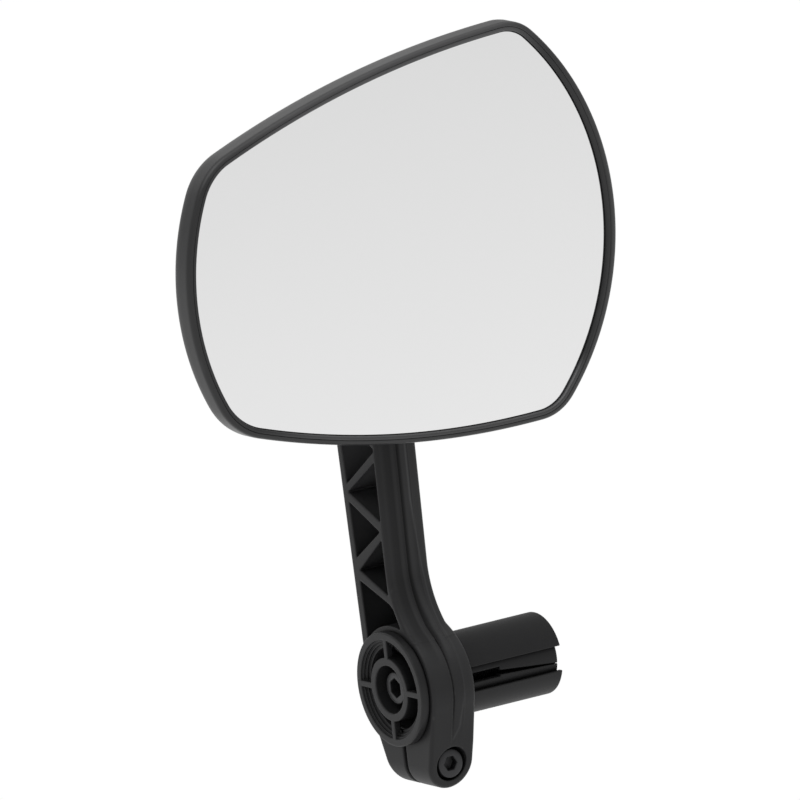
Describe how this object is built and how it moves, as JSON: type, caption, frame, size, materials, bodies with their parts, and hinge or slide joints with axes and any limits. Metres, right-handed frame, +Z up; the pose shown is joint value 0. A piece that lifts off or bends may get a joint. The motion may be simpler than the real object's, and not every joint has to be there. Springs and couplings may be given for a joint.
{
  "type": "bike mirror",
  "caption": "Handlebar-end rear-view mirror: expanding bar plug, truss arm on a pinch-clamp ring, and a rounded four-sided mirror head on a ball joint.",
  "frame": {"origin": "on the bar axis, in the face of the plug that meets the end of the handlebar", "axes": "+X along the bar axis into the bar, +Z up along the arm, the mirror glass faces -Y"},
  "size_m": [0.1151, 0.0298, 0.1706],
  "materials": {
    "plug_plastic": "satin moulded",
    "expander_plastic": "satin moulded",
    "sleeve_plastic": "fine matte moulded",
    "arm_plastic": "satin moulded",
    "housing_plastic": "satin moulded",
    "frame_plastic": "satin moulded",
    "seat_nylon": "natural nylon",
    "foam_pad": "foam adhesive pad",
    "black_steel": "black oxide",
    "zinc_steel": "zinc plated",
    "bright_steel": "ground",
    "spring_steel": "spring steel",
    "mirror_glass": "silvered glass"
  },
  "bodies": {
    "plug": {"plug_body": "plug_plastic", "expander_sleeve": "expander_plastic", "adapter_sleeve": "sleeve_plastic", "screw_washer": "zinc_steel"},
    "expander_screw": {"expander_screw": "black_steel"},
    "wedge": {"wedge": "expander_plastic", "wedge_nut": "zinc_steel"},
    "arm": {"arm": "arm_plastic", "pinch_washer": "black_steel", "pinch_nut": "zinc_steel", "ball_stud": "bright_steel", "stud_washer": "zinc_steel", "stud_nut": "zinc_steel"},
    "pinch_bolt": {"pinch_bolt": "black_steel"},
    "ball_seat": {"ball_seat": "seat_nylon"},
    "pressure_cup": {"pressure_cup": "seat_nylon"},
    "head": {"cup_spring": "spring_steel", "clamp_plate": "zinc_steel", "clamp_screws": "zinc_steel", "rear_housing": "housing_plastic", "lens_frame": "frame_plastic", "lens_pad": "foam_pad", "mirror_lens": "mirror_glass"}
  },
  "joints": [
    {"name": "expander_screw_turn", "type": "hinge", "parent": "plug", "child": "expander_screw", "pos_m": [0, 0, 0], "axis": [1, 0, 0], "range_deg": [-1080, 0]},
    {"name": "wedge_slide", "type": "slide", "parent": "plug", "child": "wedge", "axis": [1, 0, 0], "range_m": [0, 0.0024]},
    {"name": "arm_swing", "type": "hinge", "parent": "plug", "child": "arm", "pos_m": [-0.006, 0, 0], "axis": [1, 0, 0], "continuous": true},
    {"name": "pinch_bolt_turn", "type": "hinge", "parent": "arm", "child": "pinch_bolt", "pos_m": [-0.006, 0, -0.0175], "axis": [0, 1, 0], "range_deg": [-720, 0]},
    {"name": "mirror_tilt", "type": "hinge", "parent": "arm", "child": "ball_seat", "pos_m": [-0.0062, 0.002, 0.1015], "axis": [1, 0, 0], "range_deg": [-15, 4]},
    {"name": "mirror_pan", "type": "hinge", "parent": "ball_seat", "child": "pressure_cup", "pos_m": [-0.0062, 0.002, 0.1015], "axis": [0, 0, 1], "range_deg": [-15, 15]},
    {"name": "mirror_roll", "type": "hinge", "parent": "pressure_cup", "child": "head", "pos_m": [-0.0062, 0.002, 0.1015], "axis": [0, 1, 0], "range_deg": [-12, 12]}
  ],
  "couplings": [
    {"joint": "expander_screw_turn", "follows": "wedge_slide", "rad_per_m": -7854}
  ]
}
